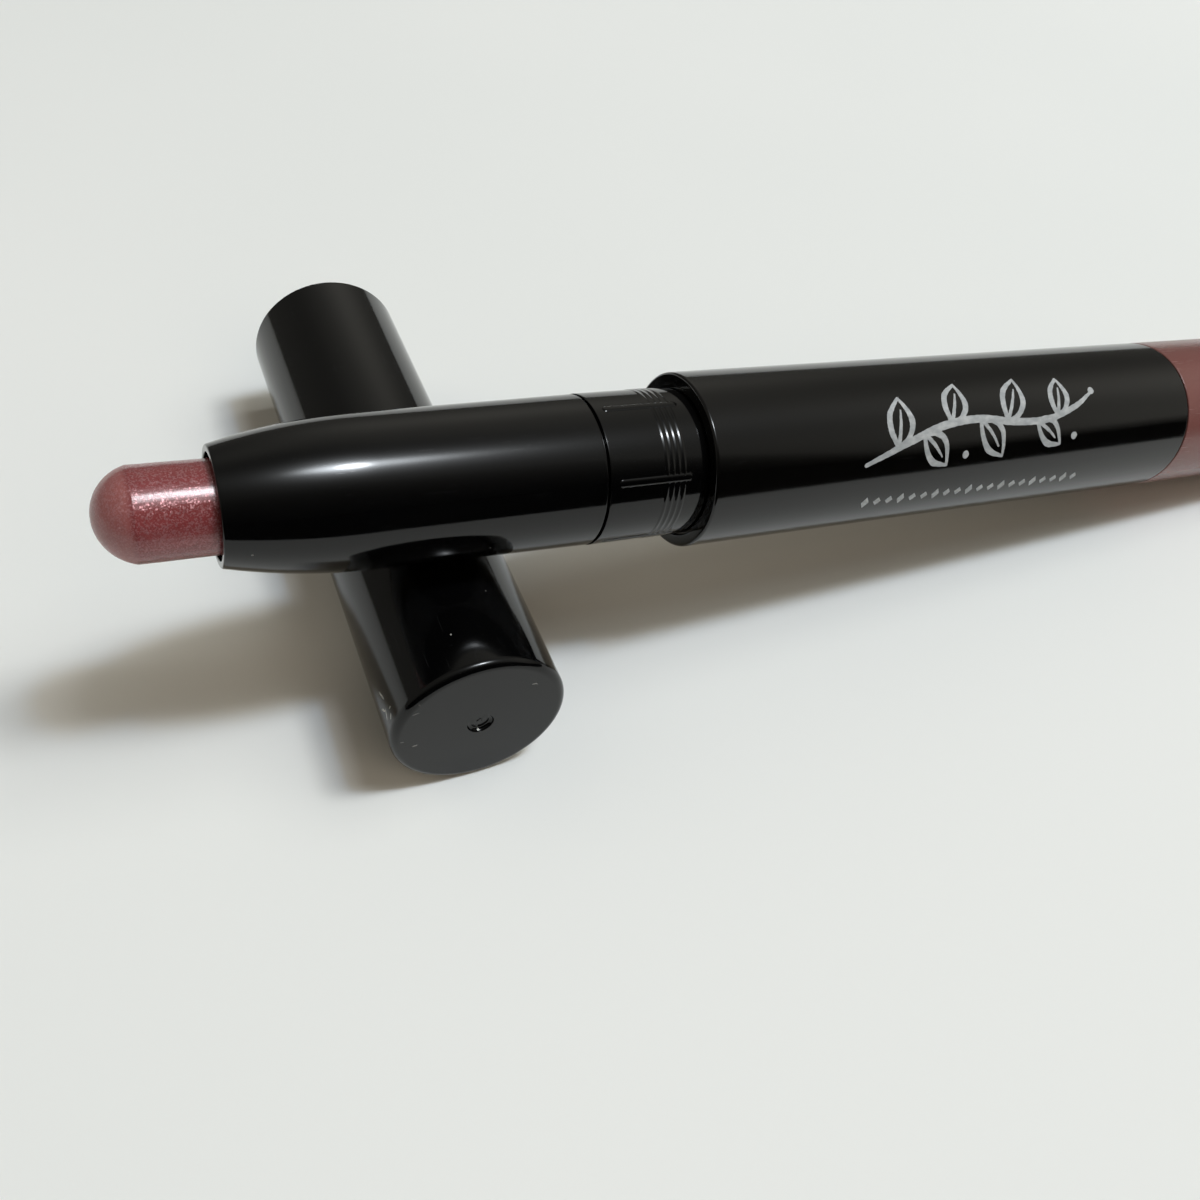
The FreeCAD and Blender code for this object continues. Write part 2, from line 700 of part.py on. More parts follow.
# -------------------------------------------------------------- 11. cap shell
cap = turned(
    "cap_shell",
    [
        (d("gate_depth") - d("gate_nub_height"), 0),
        (d("gate_depth") - d("gate_nub_height"), d("gate_nub")),
        (d("gate_depth"), d("gate_nub")),
        (d("gate_depth"), d("gate_radius")),
        (0, d("gate_radius")),
        (0, d("cap_radius")),
        (d("cap_length"), d("cap_radius")),
        (d("cap_length"), d("cap_bore")),
        (d("cap_length") - d("detent_offset") + (d("detent_width") - d("detent_crest")) / 2, d("cap_bore")),
        (d("cap_length") - d("detent_offset"), d("detent_radius")),
        (d("cap_length") - d("detent_offset") - d("detent_crest"), d("detent_radius")),
        (d("cap_length") - d("detent_offset") - d("detent_crest") - (d("detent_width") - d("detent_crest")) / 2, d("cap_bore")),
        (d("cap_floor") + d("cap_seat_length"), d("cap_bore")),
        (d("cap_floor") + d("cap_seat_length"), d("cap_seat")),
        (d("cap_floor"), d("cap_seat")),
        (d("cap_floor"), 0),
    ],
)
dress(cap, "Fillet", "closed_end_round", [(0, "cap_radius")], "cap_round")
dress(cap, "Fillet", "open_end_round", [("cap_length", "cap_radius")], "cap_lip")
place_on_cap(cap)
PIECES.append(cap)

# -------------------------------------------------------------- 12. cap liner
liner = turned(
    "cap_liner",
    [
        (d("cap_floor"), 0),
        (d("cap_floor"), d("liner_radius")),
        (d("cap_floor") + d("liner_length"), d("liner_radius")),
        (d("cap_floor") + d("liner_length"), d("liner_bore")),
        (d("cap_floor") + d("liner_floor"), d("liner_bore")),
        (d("cap_floor") + d("liner_floor"), 0),
    ],
)
place_on_cap(liner)
PIECES.append(liner)

# ------------------------------------------------------------ check and write
doc.recompute()
for item in doc.Objects:
    state = [s for s in item.State if s in ("Invalid", "Error")]
    if state:
        raise RuntimeError("%s is %s" % (item.Name, state))
    if item.TypeId == "Sketcher::SketchObject" and item.solve() != 0:
        raise RuntimeError(item.Name + " does not solve")
for piece in PIECES:
    shape = piece.Shape
    if shape.isNull() or not shape.isValid() or shape.Volume <= 0:
        raise RuntimeError(piece.Label + " has no valid shape")
    if len(shape.Solids) != 1:
        raise RuntimeError("%s has %d solids" % (piece.Label, len(shape.Solids)))

os.makedirs("parts", exist_ok=True)
whole = FreeCAD.BoundBox()
for piece in PIECES:
    piece.Shape.exportStep("parts/" + piece.Label + ".step")
    box = piece.Shape.BoundBox
    whole.add(box)
    print("%-15s volume %9.3f  x %8.3f %8.3f  y %8.3f %8.3f  z %8.3f %8.3f" % (piece.Label, piece.Shape.Volume, box.XMin, box.XMax, box.YMin, box.YMax, box.ZMin, box.ZMax))
print("whole  x %.4f %.4f  y %.4f %.4f  z %.4f %.4f" % (whole.XMin, whole.XMax, whole.YMin, whole.YMax, whole.ZMin, whole.ZMax))
print("tilt %.5f  mouth %.5f %.5f %.5f  cap x %.5f" % (VALUE["tilt_angle"], VALUE["mouth_x"], VALUE["mouth_y"], VALUE["mouth_z"], VALUE["cap_x"]))
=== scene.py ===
# Twist-up lip crayon lying with its nose across its cap.
# Lengths in the piece code are millimetres in the piece's own frame: the crayon's frame
# has X from the mouth of the nose towards the tail, the cap's frame has X from the closed
# end towards the open end.  Everything is turned into metres when a mesh is made.
import json
import math

import bmesh
import bpy
import numpy as np
from mathutils import Matrix, Vector


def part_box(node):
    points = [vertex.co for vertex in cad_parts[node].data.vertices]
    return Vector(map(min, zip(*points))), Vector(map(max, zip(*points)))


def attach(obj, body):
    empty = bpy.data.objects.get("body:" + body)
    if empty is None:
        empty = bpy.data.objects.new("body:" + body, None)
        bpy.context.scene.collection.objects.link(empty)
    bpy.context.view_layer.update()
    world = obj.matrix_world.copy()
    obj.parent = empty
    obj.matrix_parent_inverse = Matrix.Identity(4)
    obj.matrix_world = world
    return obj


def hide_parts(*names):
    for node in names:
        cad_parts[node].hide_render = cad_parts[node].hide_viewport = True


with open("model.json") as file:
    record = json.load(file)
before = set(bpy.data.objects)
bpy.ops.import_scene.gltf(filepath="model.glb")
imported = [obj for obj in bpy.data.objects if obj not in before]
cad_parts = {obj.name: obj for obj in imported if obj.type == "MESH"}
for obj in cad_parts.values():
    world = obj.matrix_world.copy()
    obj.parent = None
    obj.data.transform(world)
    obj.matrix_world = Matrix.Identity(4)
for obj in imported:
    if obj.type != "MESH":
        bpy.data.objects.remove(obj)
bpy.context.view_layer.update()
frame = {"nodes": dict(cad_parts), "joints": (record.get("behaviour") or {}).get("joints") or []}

MM = 0.001
scene = bpy.context.scene

# ------------------------------------------------------------------- frames
joints = {j["name"]: j for j in frame["joints"]}
ALONG = -Vector(joints["tail_twist"]["axis"]).normalized()      # mouth towards tail
MOUTH = Vector(joints["tail_twist"]["pos_m"]) - ALONG * (81.35 * MM)
ABOVE = Vector((-ALONG.z, 0.0, ALONG.x))
CRAYON = Matrix(
    (
        (ALONG.x, 0.0, ABOVE.x, MOUTH.x),
        (ALONG.y, 1.0, ABOVE.y, MOUTH.y),
        (ALONG.z, 0.0, ABOVE.z, MOUTH.z),
        (0.0, 0.0, 0.0, 1.0),
    )
)
cap_low, cap_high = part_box("cap_shell")
CAP = Matrix(
    (
        (0.0, -1.0, 0.0, (cap_low.x + cap_high.x) / 2),
        (1.0, 0.0, 0.0, cap_low.y),
        (0.0, 0.0, 1.0, (cap_low.z + cap_high.z) / 2),
        (0.0, 0.0, 0.0, 1.0),
    )
)


# ------------------------------------------------------------ mesh building
def rounded(points, steps=6):
    """Section corners given as (x, r) or (x, r, rounding); each rounding becomes an arc."""
    out = []
    count = len(points)
    for i, point in enumerate(points):
        radius = point[2] if len(point) > 2 else 0.0
        here = np.array(point[:2], float)
        if not radius:
            out.append(tuple(here))
            continue
        before = np.array(points[i - 1][:2], float) - here
        after = np.array(points[(i + 1) % count][:2], float) - here
        before /= np.linalg.norm(before)
        after /= np.linalg.norm(after)
        half = math.acos(max(-1.0, min(1.0, float(before @ after)))) / 2
        reach = radius / math.tan(half)
        middle = here + (before + after) / np.linalg.norm(before + after) * (radius / math.sin(half))
        one, two = here + before * reach - middle, here + after * reach - middle
        sweep = math.pi - 2 * half
        for k in range(steps + 1):
            t = k / steps
            p = middle + (one * math.sin((1 - t) * sweep) + two * math.sin(t * sweep)) / math.sin(sweep)
            out.append((float(p[0]), float(p[1])))
    return out


def spread(section, step=1.5, hold=0.05, closed=True):
    """Rings just inside both ends of every long run, so that a small rounding doesn't bend
    the shading of the face next to it, and rings every step along it."""
    out = []
    count = len(section)
    for i in range(count if closed else count - 1):
        a, b = np.array(section[i], float), np.array(section[(i + 1) % count], float)
        out.append(tuple(a))
        run = float(np.linalg.norm(b - a))
        if run < 5 * hold:
            continue
        unit = (b - a) / run
        out.append(tuple(a + unit * hold))
        parts = max(1, int(math.ceil((run - 2 * hold) / step)))
        for k in range(1, parts):
            out.append(tuple(a + unit * (hold + (run - 2 * hold) * k / parts)))
        out.append(tuple(b - unit * hold))
    if not closed:
        out.append(tuple(section[-1]))
    return out


def turned(name, section, angles=256, relief=None, closed=True, sharp=31.0):
    """A closed body of revolution round local X.  angles is a count or a list of angles in
    degrees, measured from up towards -Y; relief(x, r, angle) gives the radius at a point."""
    if isinstance(angles, int):
        angles = [360.0 * k / angles for k in range(angles)]
    turn = np.radians(np.array(angles))
    count = len(turn)
    points, rings = [], []
    for x, r in section:
        if r < 1e-9:
            rings.append([len(points)])
            points.append((x, 0.0, 0.0))
            continue
        radius = np.full(count, r) if relief is None else relief(x, r, turn)
        rings.append(list(range(len(points), len(points) + count)))
        points.extend(zip(np.full(count, x), -radius * np.sin(turn), radius * np.cos(turn)))
    faces = []
    total = len(rings)
    for i in range(total if closed else total - 1):
        one, two = rings[i], rings[(i + 1) % total]
        if len(one) == 1 and len(two) == 1:
            continue
        for k in range(count):
            n = (k + 1) % count
            if len(one) == 1:
                faces.append((one[0], two[n], two[k]))
            elif len(two) == 1:
                faces.append((one[k], one[n], two[0]))
            else:
                faces.append((one[k], one[n], two[n], two[k]))
    return solid(name, points, faces, sharp)


def solid(name, points, faces, sharp=31.0):
    mesh = bpy.data.meshes.new(name)
    mesh.from_pydata([tuple(float(c) * MM for c in p) for p in points], [], faces)
    work = bmesh.new()
    work.from_mesh(mesh)
    bmesh.ops.recalc_face_normals(work, faces=work.faces)
    work.to_mesh(mesh)
    work.free()
    mesh.update()
    mesh.shade_smooth()
    mesh.set_sharp_from_angle(angle=math.radians(sharp))
    made = bpy.data.objects.new(name, mesh)
    scene.collection.objects.link(made)
    return made


def seat(piece, matrix, body, slot, material, *nodes):
    """Puts a piece in its frame, on its body, with its material; its slot argument is not used."""
    piece.matrix_world = matrix
    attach(piece, body)
    if nodes:
        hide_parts(*nodes)
    piece.data.materials.clear()
    piece.data.materials.append(material)
    return piece


# ---------------------------------------------------------------- materials
class Graph:
    """A material's nodes, with short ways to add and join them."""

    def __init__(self, name):
        self.material = bpy.data.materials.new(name)
        self.material.use_nodes = True
        self.tree = self.material.node_tree
        self.tree.nodes.clear()
        self.out = self.tree.nodes.new("ShaderNodeOutputMaterial")
        self.shader = self.tree.nodes.new("ShaderNodeBsdfPrincipled")
        self.join(self.shader.outputs["BSDF"], self.out.inputs["Surface"])
        coordinate = self.tree.nodes.new("ShaderNodeTexCoord")
        scale = self.tree.nodes.new("ShaderNodeVectorMath")
        scale.operation = "SCALE"
        scale.inputs["Scale"].default_value = 1000.0
        self.join(coordinate.outputs["Object"], scale.inputs[0])
        self.mm = scale.outputs[0]                    # the piece's own frame, in mm

    def join(self, a, b):
        self.tree.links.new(a, b)

    def put(self, socket, value):
        if hasattr(value, "is_linked") or hasattr(value, "links"):
            self.join(value, socket)
        else:
            socket.default_value = value

    def set(self, **values):
        for name, value in values.items():
            self.put(self.shader.inputs[name.replace("_", " ")], value)

    def math(self, operation, a, b=0.0, c=0.0, clamp=False):
        n = self.tree.nodes.new("ShaderNodeMath")
        n.operation = operation
        n.use_clamp = clamp
        for socket, value in zip(n.inputs, (a, b, c)):
            self.put(socket, value)
        return n.outputs[0]

    def vector(self, operation, a, b=(0.0, 0.0, 0.0)):
        n = self.tree.nodes.new("ShaderNodeVectorMath")
        n.operation = operation
        self.put(n.inputs[0], a)
        self.put(n.inputs[1], b)
        return n.outputs[1] if operation in ("LENGTH", "DOT_PRODUCT", "DISTANCE") else n.outputs[0]

    def stretched(self, scale, turn=(0.0, 0.0, 0.0), shift=(0.0, 0.0, 0.0)):
        n = self.tree.nodes.new("ShaderNodeMapping")
        self.join(self.mm, n.inputs["Vector"])
        n.inputs["Scale"].default_value = scale
        n.inputs["Rotation"].default_value = [math.radians(v) for v in turn]
        n.inputs["Location"].default_value = shift
        return n.outputs[0]

    def noise(self, vector, scale=1.0, detail=2.0, roughness=0.5, distortion=0.0):
        n = self.tree.nodes.new("ShaderNodeTexNoise")
        self.join(vector, n.inputs["Vector"])
        n.inputs["Scale"].default_value = scale
        n.inputs["Detail"].default_value = detail
        n.inputs["Roughness"].default_value = roughness
        n.inputs["Distortion"].default_value = distortion
        return n.outputs["Fac"]

    def cells(self, vector, scale=1.0, feature="F1"):
        n = self.tree.nodes.new("ShaderNodeTexVoronoi")
        n.feature = feature
        self.join(vector, n.inputs["Vector"])
        n.inputs["Scale"].default_value = scale
        return n

    def band(self, value, low, high, to_low=0.0, to_high=1.0, smooth=True):
        n = self.tree.nodes.new("ShaderNodeMapRange")
        n.interpolation_type = "SMOOTHSTEP" if smooth else "LINEAR"
        n.clamp = True
        self.join(value, n.inputs["Value"])
        for key, v in (("From Min", low), ("From Max", high), ("To Min", to_low), ("To Max", to_high)):
            n.inputs[key].default_value = v
        return n.outputs["Result"]

    def mix(self, amount, a, b):
        n = self.tree.nodes.new("ShaderNodeMix")
        n.data_type = "RGBA"
        self.put(n.inputs["Factor"], amount)
        self.put(n.inputs["A"] if False else n.inputs[6], a)
        self.put(n.inputs[7], b)
        return n.outputs[2]

    def fleck(self, middle, size, turn):
        """1 inside a small ellipsoid round a point, 0 outside it."""
        n = self.tree.nodes.new("ShaderNodeMapping")
        n.vector_type = "TEXTURE"
        self.join(self.mm, n.inputs["Vector"])
        n.inputs["Location"].default_value = middle
        n.inputs["Rotation"].default_value = [math.radians(v) for v in turn]
        n.inputs["Scale"].default_value = size
        return self.math("LESS_THAN", self.vector("LENGTH", n.outputs[0]), 1.0)

    def bump(self, height, distance, strength=1.0, normal=None):
        n = self.tree.nodes.new("ShaderNodeBump")
        n.inputs["Strength"].default_value = strength
        n.inputs["Distance"].default_value = distance
        self.join(height, n.inputs["Height"])
        if normal is not None:
            self.join(normal, n.inputs["Normal"])
        return n.outputs["Normal"]


def colour(r, g, b):
    return (r, g, b, 1.0)


def black_gloss(name, base, rough, scuff=1.0, dust=1.0, shift=0.0, index=1.43, dust_and_glint_marks=(), dimple=False):
    """Injection-moulded glossy black: faint flow waves, hairline scratches, a few specks of dust, and any small marks
    passed in: dust fibres, and on the cap one painted highlight.
    """
    g = Graph(name)
    flow = g.noise(g.stretched((0.06, 0.22, 0.22), shift=(shift, 3.1, 1.7)), 1.0, 3.0, 0.55)
    cloud = g.noise(g.stretched((0.35, 0.35, 0.35), shift=(shift, 0.0, 9.0)), 1.0, 4.0, 0.6)
    fine = g.noise(g.mm, 9.0, 2.0, 0.5)
    # hairlines: noise stretched out along two directions, cut near its top
    hair_a = g.band(g.noise(g.stretched((0.28, 15.0, 15.0), (0.0, 9.0, 17.0), (shift, 0.0, 0.0)), 1.0, 1.0, 0.4), 0.755, 0.79)
    hair_b = g.band(g.noise(g.stretched((13.0, 13.0, 0.34), (24.0, 31.0, 0.0), (shift, 5.0, 2.0)), 1.0, 1.0, 0.4), 0.775, 0.80)
    hair_c = g.band(g.noise(g.stretched((12.0, 0.30, 12.0), (0.0, 14.0, 38.0), (shift, 1.0, 7.0)), 1.0, 1.0, 0.4), 0.775, 0.80)
    hairs = g.math("MAXIMUM", g.math("MAXIMUM", hair_a, hair_b), hair_c)
    # specks of dust: a few small cells, of uneven size
    speck = g.cells(g.stretched((1.0, 1.0, 1.0), (11.0, 23.0, 37.0), (shift, 2.0, 4.0)), 0.62)
    pick = g.tree.nodes.new("ShaderNodeSeparateColor")
    g.join(speck.outputs["Color"], pick.inputs[0])
    size = g.math("MULTIPLY", g.band(pick.outputs[0], 0.72, 1.0), 0.062 * dust)
    specks = g.math("MULTIPLY", g.math("LESS_THAN", speck.outputs["Distance"], size), g.band(pick.outputs[1], 0.0, 1.0, 0.25, 1.0))
    speck_and_glint_mask = g.math("MULTIPLY", specks, 0.36)
    # the marks passed in are painted pale: dust fibres, and on the cap one painted highlight
    for middle, size, turn, tone in dust_and_glint_marks:
        speck_and_glint_mask = g.math("MAXIMUM", speck_and_glint_mask, g.math("MULTIPLY", g.fleck(middle, size, turn), tone))
    tone = g.mix(g.band(flow, 0.3, 0.7), colour(*[c * 0.8 for c in base]), colour(*[c * 1.25 for c in base]))
    tone = g.mix(g.math("MULTIPLY", hairs, 0.10 * scuff), tone, colour(0.16, 0.16, 0.165))
    # pale grey where dust lies, and where the painted highlight sits
    tone = g.mix(speck_and_glint_mask, tone, colour(0.62, 0.62, 0.58))
    g.set(Base_Color=tone)
    value = g.band(cloud, 0.25, 0.75, rough * 0.82, rough * 1.25, smooth=False)
    value = g.math("ADD", value, g.math("MULTIPLY", hairs, 0.16 * scuff))
    value = g.math("ADD", value, g.math("MULTIPLY", specks, 0.5), clamp=True)
    if dimple:
        # the gate's scar is rougher than the polished end round it
        apart = g.tree.nodes.new("ShaderNodeSeparateXYZ")
        g.join(g.mm, apart.inputs[0])
        away = g.vector("LENGTH", g.vector("MULTIPLY", g.mm, (0.0, 1.0, 1.0)))
        scar = g.math("MULTIPLY", g.band(away, 0.72, 0.55), g.band(apart.outputs[0], 0.08, 0.20))
        value = g.math("ADD", value, g.math("MULTIPLY", scar, g.band(g.noise(g.mm, 5.0, 3.0), 0.3, 0.7, 0.0, 0.14)), clamp=True)
    g.set(Roughness=value, IOR=index)
    wave = g.bump(flow, 0.00055 * MM * 12, 1.0)
    skin = g.bump(fine, 0.00006 * MM * 10, 1.0, wave)
    cut = g.bump(g.math("MULTIPLY", hairs, -1.0), 0.0009 * MM * scuff, 1.0, skin)
    last = g.bump(specks, 0.012 * MM, 1.0, cut)
    if dimple:
        last = g.bump(g.math("MULTIPLY", scar, g.noise(g.mm, 4.0, 4.0, 0.6)), 0.02 * MM, 1.0, last)
    g.set(Normal=last)
    return g.material


black_shell = black_gloss("black_shell_gloss", (0.0012, 0.0012, 0.0013), 0.080, 0.40, 0.8, 0.0, 1.43)
black_barrel = black_gloss("black_barrel_gloss", (0.0013, 0.0012, 0.0011), 0.100, 0.45, 0.8, 41.0, 1.47)
# (middle, half lengths, turn, strength) of the few bits of dust that lie on the cap, and of one painted highlight, the
# lamp's glint in the gate dimple
CAP_DUST_AND_GLINT = (
    ((0.0, -3.82, 3.03), (0.05, 0.19, 0.06), (8.0, 0.0, 0.0), 0.34),
    ((0.0, -4.02, 2.90), (0.05, 0.07, 0.04), (30.0, 0.0, 0.0), 0.26),
    ((0.0, 4.59, 3.18), (0.05, 0.24, 0.035), (-12.0, 0.0, 0.0), 0.22),
    ((0.0, 5.60, 0.30), (0.05, 0.13, 0.05), (5.0, 0.0, 0.0), 0.22),
    ((0.0, 4.73, -0.52), (0.05, 0.20, 0.07), (-6.0, 0.0, 0.0), 0.26),
    ((0.0, 4.30, 4.05), (0.05, 0.10, 0.03), (50.0, 0.0, 0.0), 0.16),
    ((3.37, 1.10, 6.30), (0.065, 0.065, 0.06), (0.0, 0.0, 0.0), 0.45),
    # painted highlight: a pale dot painted on the gate dimple's wall where the lamp glints
    ((0.16, 0.12, -0.90), (0.10, 0.085, 0.10), (0.0, 0.0, 0.0), 1.0),
    ((3.10, 6.12, 1.88), (0.50, 0.08, 0.08), (0.0, 18.0, 8.0), 0.80),
    ((2.20, 6.24, 1.42), (0.42, 0.08, 0.075), (0.0, 40.0, 0.0), 0.90),
    ((1.65, 6.18, 1.66), (0.55, 0.07, 0.07), (0.0, -25.0, 0.0), 0.80),
    ((1.05, 6.02, 2.16), (0.30, 0.08, 0.07), (0.0, -48.0, 0.0), 0.75),
    ((1.60, 5.92, 2.42), (0.06, 0.06, 0.25), (0.0, 0.0, 0.0), 0.6),
)
black_cap = black_gloss("black_cap_gloss", (0.0012, 0.0012, 0.0013), 0.085, 0.7, 0.9, 83.0, 1.40, CAP_DUST_AND_GLINT, True)


def rose_plastic():
    """Dusty rose moulded plastic with a satin-gloss skin."""
    g = Graph("rose_knob_plastic")
    cloud = g.noise(g.stretched((0.12, 0.25, 0.25)), 1.0, 4.0, 0.55)
    grain = g.noise(g.mm, 14.0, 3.0, 0.6)
    hair = g.band(g.noise(g.stretched((0.3, 12.0, 12.0), (0.0, 12.0, 20.0)), 1.0, 1.0, 0.4), 0.735, 0.78)
    tone = g.mix(g.band(cloud, 0.3, 0.7), colour(0.140, 0.050, 0.043), colour(0.161, 0.060, 0.052))
    tone = g.mix(g.band(grain, 0.3, 0.75, 0.0, 0.35), tone, colour(0.215, 0.090, 0.080))
    tone = g.mix(g.math("MULTIPLY", hair, 0.25), tone, colour(0.50, 0.33, 0.31))
    rough = g.band(grain, 0.2, 0.8, 0.20, 0.30, smooth=False)
    rough = g.math("ADD", rough, g.math("MULTIPLY", hair, 0.15))
    g.set(Base_Color=tone, Roughness=rough, IOR=1.48)
    wave = g.bump(cloud, 0.008 * MM, 1.0)
    g.set(Normal=g.bump(grain, 0.0011 * MM, 1.0, wave))
    return g.material


def pearl_wax():
    """Mauve-rose lip colour: oily wax with pearl flakes that lie at slightly random angles,
    and a drier, paler dome."""
    g = Graph("pearl_lip_wax")
    streak = g.noise(g.stretched((0.10, 1.7, 1.7)), 1.0, 4.0, 0.6)
    cloud = g.noise(g.stretched((0.35, 0.5, 0.5), shift=(7.0, 1.0, 3.0)), 1.0, 3.0, 0.55)
    grain = g.noise(g.mm, 11.0, 4.0, 0.65)
    apart = g.tree.nodes.new("ShaderNodeSeparateXYZ")
    g.join(g.mm, apart.inputs[0])
    dome = g.band(g.math("ADD", apart.outputs[0], g.math("MULTIPLY", cloud, 0.5)), -4.55, -5.1)
    tone = g.mix(g.band(cloud, 0.3, 0.7), colour(0.170, 0.026, 0.028), colour(0.214, 0.038, 0.040))
    tone = g.mix(g.band(streak, 0.35, 0.75, 0.0, 0.45), tone, colour(0.154, 0.022, 0.025))
    tone = g.mix(g.math("MULTIPLY", dome, g.band(grain, 0.25, 0.75, 0.55, 0.95)), tone, colour(0.325, 0.110, 0.104))
    flake = g.cells(g.mm, 11.0)
    pick = g.tree.nodes.new("ShaderNodeSeparateColor")
    g.join(flake.outputs["Color"], pick.inputs[0])
    chosen = g.band(pick.outputs[2], 0.58, 0.72)
    big = g.cells(g.stretched((1.0, 1.0, 1.0), (20.0, 40.0, 10.0)), 5.0)
    pick_big = g.tree.nodes.new("ShaderNodeSeparateColor")
    g.join(big.outputs["Color"], pick_big.inputs[0])
    chosen_big = g.math("MULTIPLY", g.band(pick_big.outputs[2], 0.945, 0.965), g.math("LESS_THAN", big.outputs["Distance"], 0.30))
    shine = g.math("MAXIMUM", g.math("MULTIPLY", chosen, 0.62), chosen_big)
    tone = g.mix(g.math("MULTIPLY", shine, 0.55), tone, colour(0.46, 0.25, 0.26))
    g.set(Base_Color=tone)
    g.set(Metallic=g.math("MULTIPLY", shine, 0.50))
    wet = g.band(grain, 0.25, 0.8, 0.24, 0.36, smooth=False)
    g.set(Roughness=g.math("ADD", wet, g.math("MULTIPLY", dome, 0.16)))
    # every flake tips the surface a little its own way
    tip = g.vector("SUBTRACT", flake.outputs["Color"], (0.5, 0.5, 0.5))
    tip_big = g.vector("SUBTRACT", big.outputs["Color"], (0.5, 0.5, 0.5))
    small = g.tree.nodes.new("ShaderNodeVectorMath")
    small.operation = "SCALE"
    g.join(tip, small.inputs[0])
    g.join(g.math("MULTIPLY", chosen, 0.32), small.inputs["Scale"])
    large = g.tree.nodes.new("ShaderNodeVectorMath")
    large.operation = "SCALE"
    g.join(tip_big, large.inputs[0])
    g.join(g.math("MULTIPLY", chosen_big, 0.85), large.inputs["Scale"])
    drag = g.noise(g.stretched((0.55, 7.0, 7.0), shift=(3.0, 8.0, 1.0)), 1.0, 3.0, 0.6)
    skin = g.bump(streak, 0.010 * MM, 1.0)
    skin = g.bump(drag, 0.0085 * MM, 1.0, skin)
    skin = g.bump(grain, 0.0034 * MM, 1.0, skin)
    total = g.vector("ADD", g.vector("ADD", skin, small.outputs[0]), large.outputs[0])
    g.set(Normal=g.vector("NORMALIZE", total))
    g.shader.inputs["Coat Weight"].default_value = 0.50
    g.shader.inputs["Coat Roughness"].default_value = 0.17
    g.shader.inputs["IOR"].default_value = 1.46
    return g.material


def moulded(name, base, rough, vary=0.12, grain_depth=0.0025, gloss=1.5):
    """Plain moulded plastic for the pieces inside."""
    g = Graph(name)
    cloud = g.noise(g.stretched((0.2, 0.4, 0.4)), 1.0, 4.0, 0.55)
    grain = g.noise(g.mm, 8.0, 3.0, 0.6)
    tone = g.mix(g.band(cloud, 0.3, 0.7), colour(*[c * (1 - vary) for c in base]), colour(*[c * (1 + vary) for c in base]))
    g.set(Base_Color=tone, Roughness=g.band(grain, 0.2, 0.8, rough * 0.85, rough * 1.15, smooth=False), IOR=gloss)
    wave = g.bump(cloud, 0.006 * MM, 1.0)
    g.set(Normal=g.bump(grain, grain_depth * MM, 1.0, wave))
    return g.material


def print_ink():
    """Silver-grey pad-printed ink, slightly uneven where it laid down thin."""
    g = Graph("silver_grey_ink")
    patch = g.noise(g.stretched((1.3, 2.6, 2.6)), 1.0, 4.0, 0.6)
    grain = g.noise(g.mm, 22.0, 3.0, 0.6)
    tone = g.mix(g.band(patch, 0.3, 0.75), colour(0.30, 0.315, 0.325), colour(0.47, 0.48, 0.485))
    tone = g.mix(g.band(grain, 0.45, 0.8, 0.0, 0.4), tone, colour(0.24, 0.25, 0.26))
    g.set(Base_Color=tone, Metallic=0.15, Roughness=g.band(grain, 0.2, 0.8, 0.42, 0.6, smooth=False))
    g.set(Normal=g.bump(grain, 0.0025 * MM, 1.0))
    return g.material


rose = rose_plastic()
wax = pearl_wax()
ink = print_ink()
inner_black = moulded("inner_black_plastic", (0.012, 0.012, 0.013), 0.42)
liner_black = moulded("liner_black_plastic", (0.010, 0.010, 0.011), 0.34)
natural = moulded("natural_plastic", (0.62, 0.60, 0.55), 0.40, 0.05)
acetal = moulded("acetal_plastic", (0.56, 0.56, 0.54), 0.36, 0.04)
rubber = moulded("ring_rubber_black", (0.018, 0.018, 0.018), 0.55, 0.15, 0.005)

for node, material in (
    ("guide_tube", inner_black),
    ("tail_plug", inner_black),
    ("drive_spiral", acetal),
    ("bullet_carrier", natural),
    ("drag_o_ring", rubber),
):
    data = frame["nodes"][node].data
    data.materials.clear()
    data.materials.append(material)

# -------------------------------------------------------------- nose sleeve
ARC_X, ARC_R, ARC_RADIUS = 10.0269, -35.5294, 40.7329


def ogive(x):
    return ARC_R + math.sqrt(ARC_RADIUS**2 - (x - ARC_X) ** 2)


outline = rounded(
    [
        (2.4, 3.45),
        (-0.15, 3.45, 0.07),
        (-0.15, ogive(-0.15), 0.13),
        (1.0, ogive(1.0)),
    ],
    9,
)[:-1]
stations = [0.06, 0.12, 0.22, 0.5, 0.7, 0.95] + [1.25 + 0.33 * k for k in range(25)]
outline += [(x, ogive(x)) for x in stations if x < 9.45] + [(9.5, 5.2)]
outline += [(9.5 + (24.74 - 9.5) * k / 26, 5.2 + 0.2 * (9.5 + (24.74 - 9.5) * k / 26 - 9.5) / 15.46) for k in range(1, 27)]
outline += rounded([(24.6, 5.3955), (24.85, 5.3985, 0.04), (24.87, 5.08, 0.02), (24.96, 5.06), (24.96, 4.75)], 4)[1:-1]
inside = spread([(24.96, 4.75), (18.0, 4.75), (18.0, 4.02), (2.4, 4.02), (2.4, 3.45)], 2.5, 0.05, closed=False)
nose = turned("nose_sleeve_shell", outline[1:] + inside, 288)
seat(nose, CRAYON, "barrel", "black_shell", black_shell, "nose_sleeve")

# ------------------------------------------------------------- front collar
NECK, RIB_UP, RIB_HALF = 5.43, 0.075, 0.28
BEADS = [29.28 + 0.45 * k + 0.17 for k in range(4)]
RIBS = [math.radians(60.0 * k) for k in range(6)]
RIB_FROM, RIB_TO = 25.7 + RIB_HALF, 31.5 - RIB_HALF


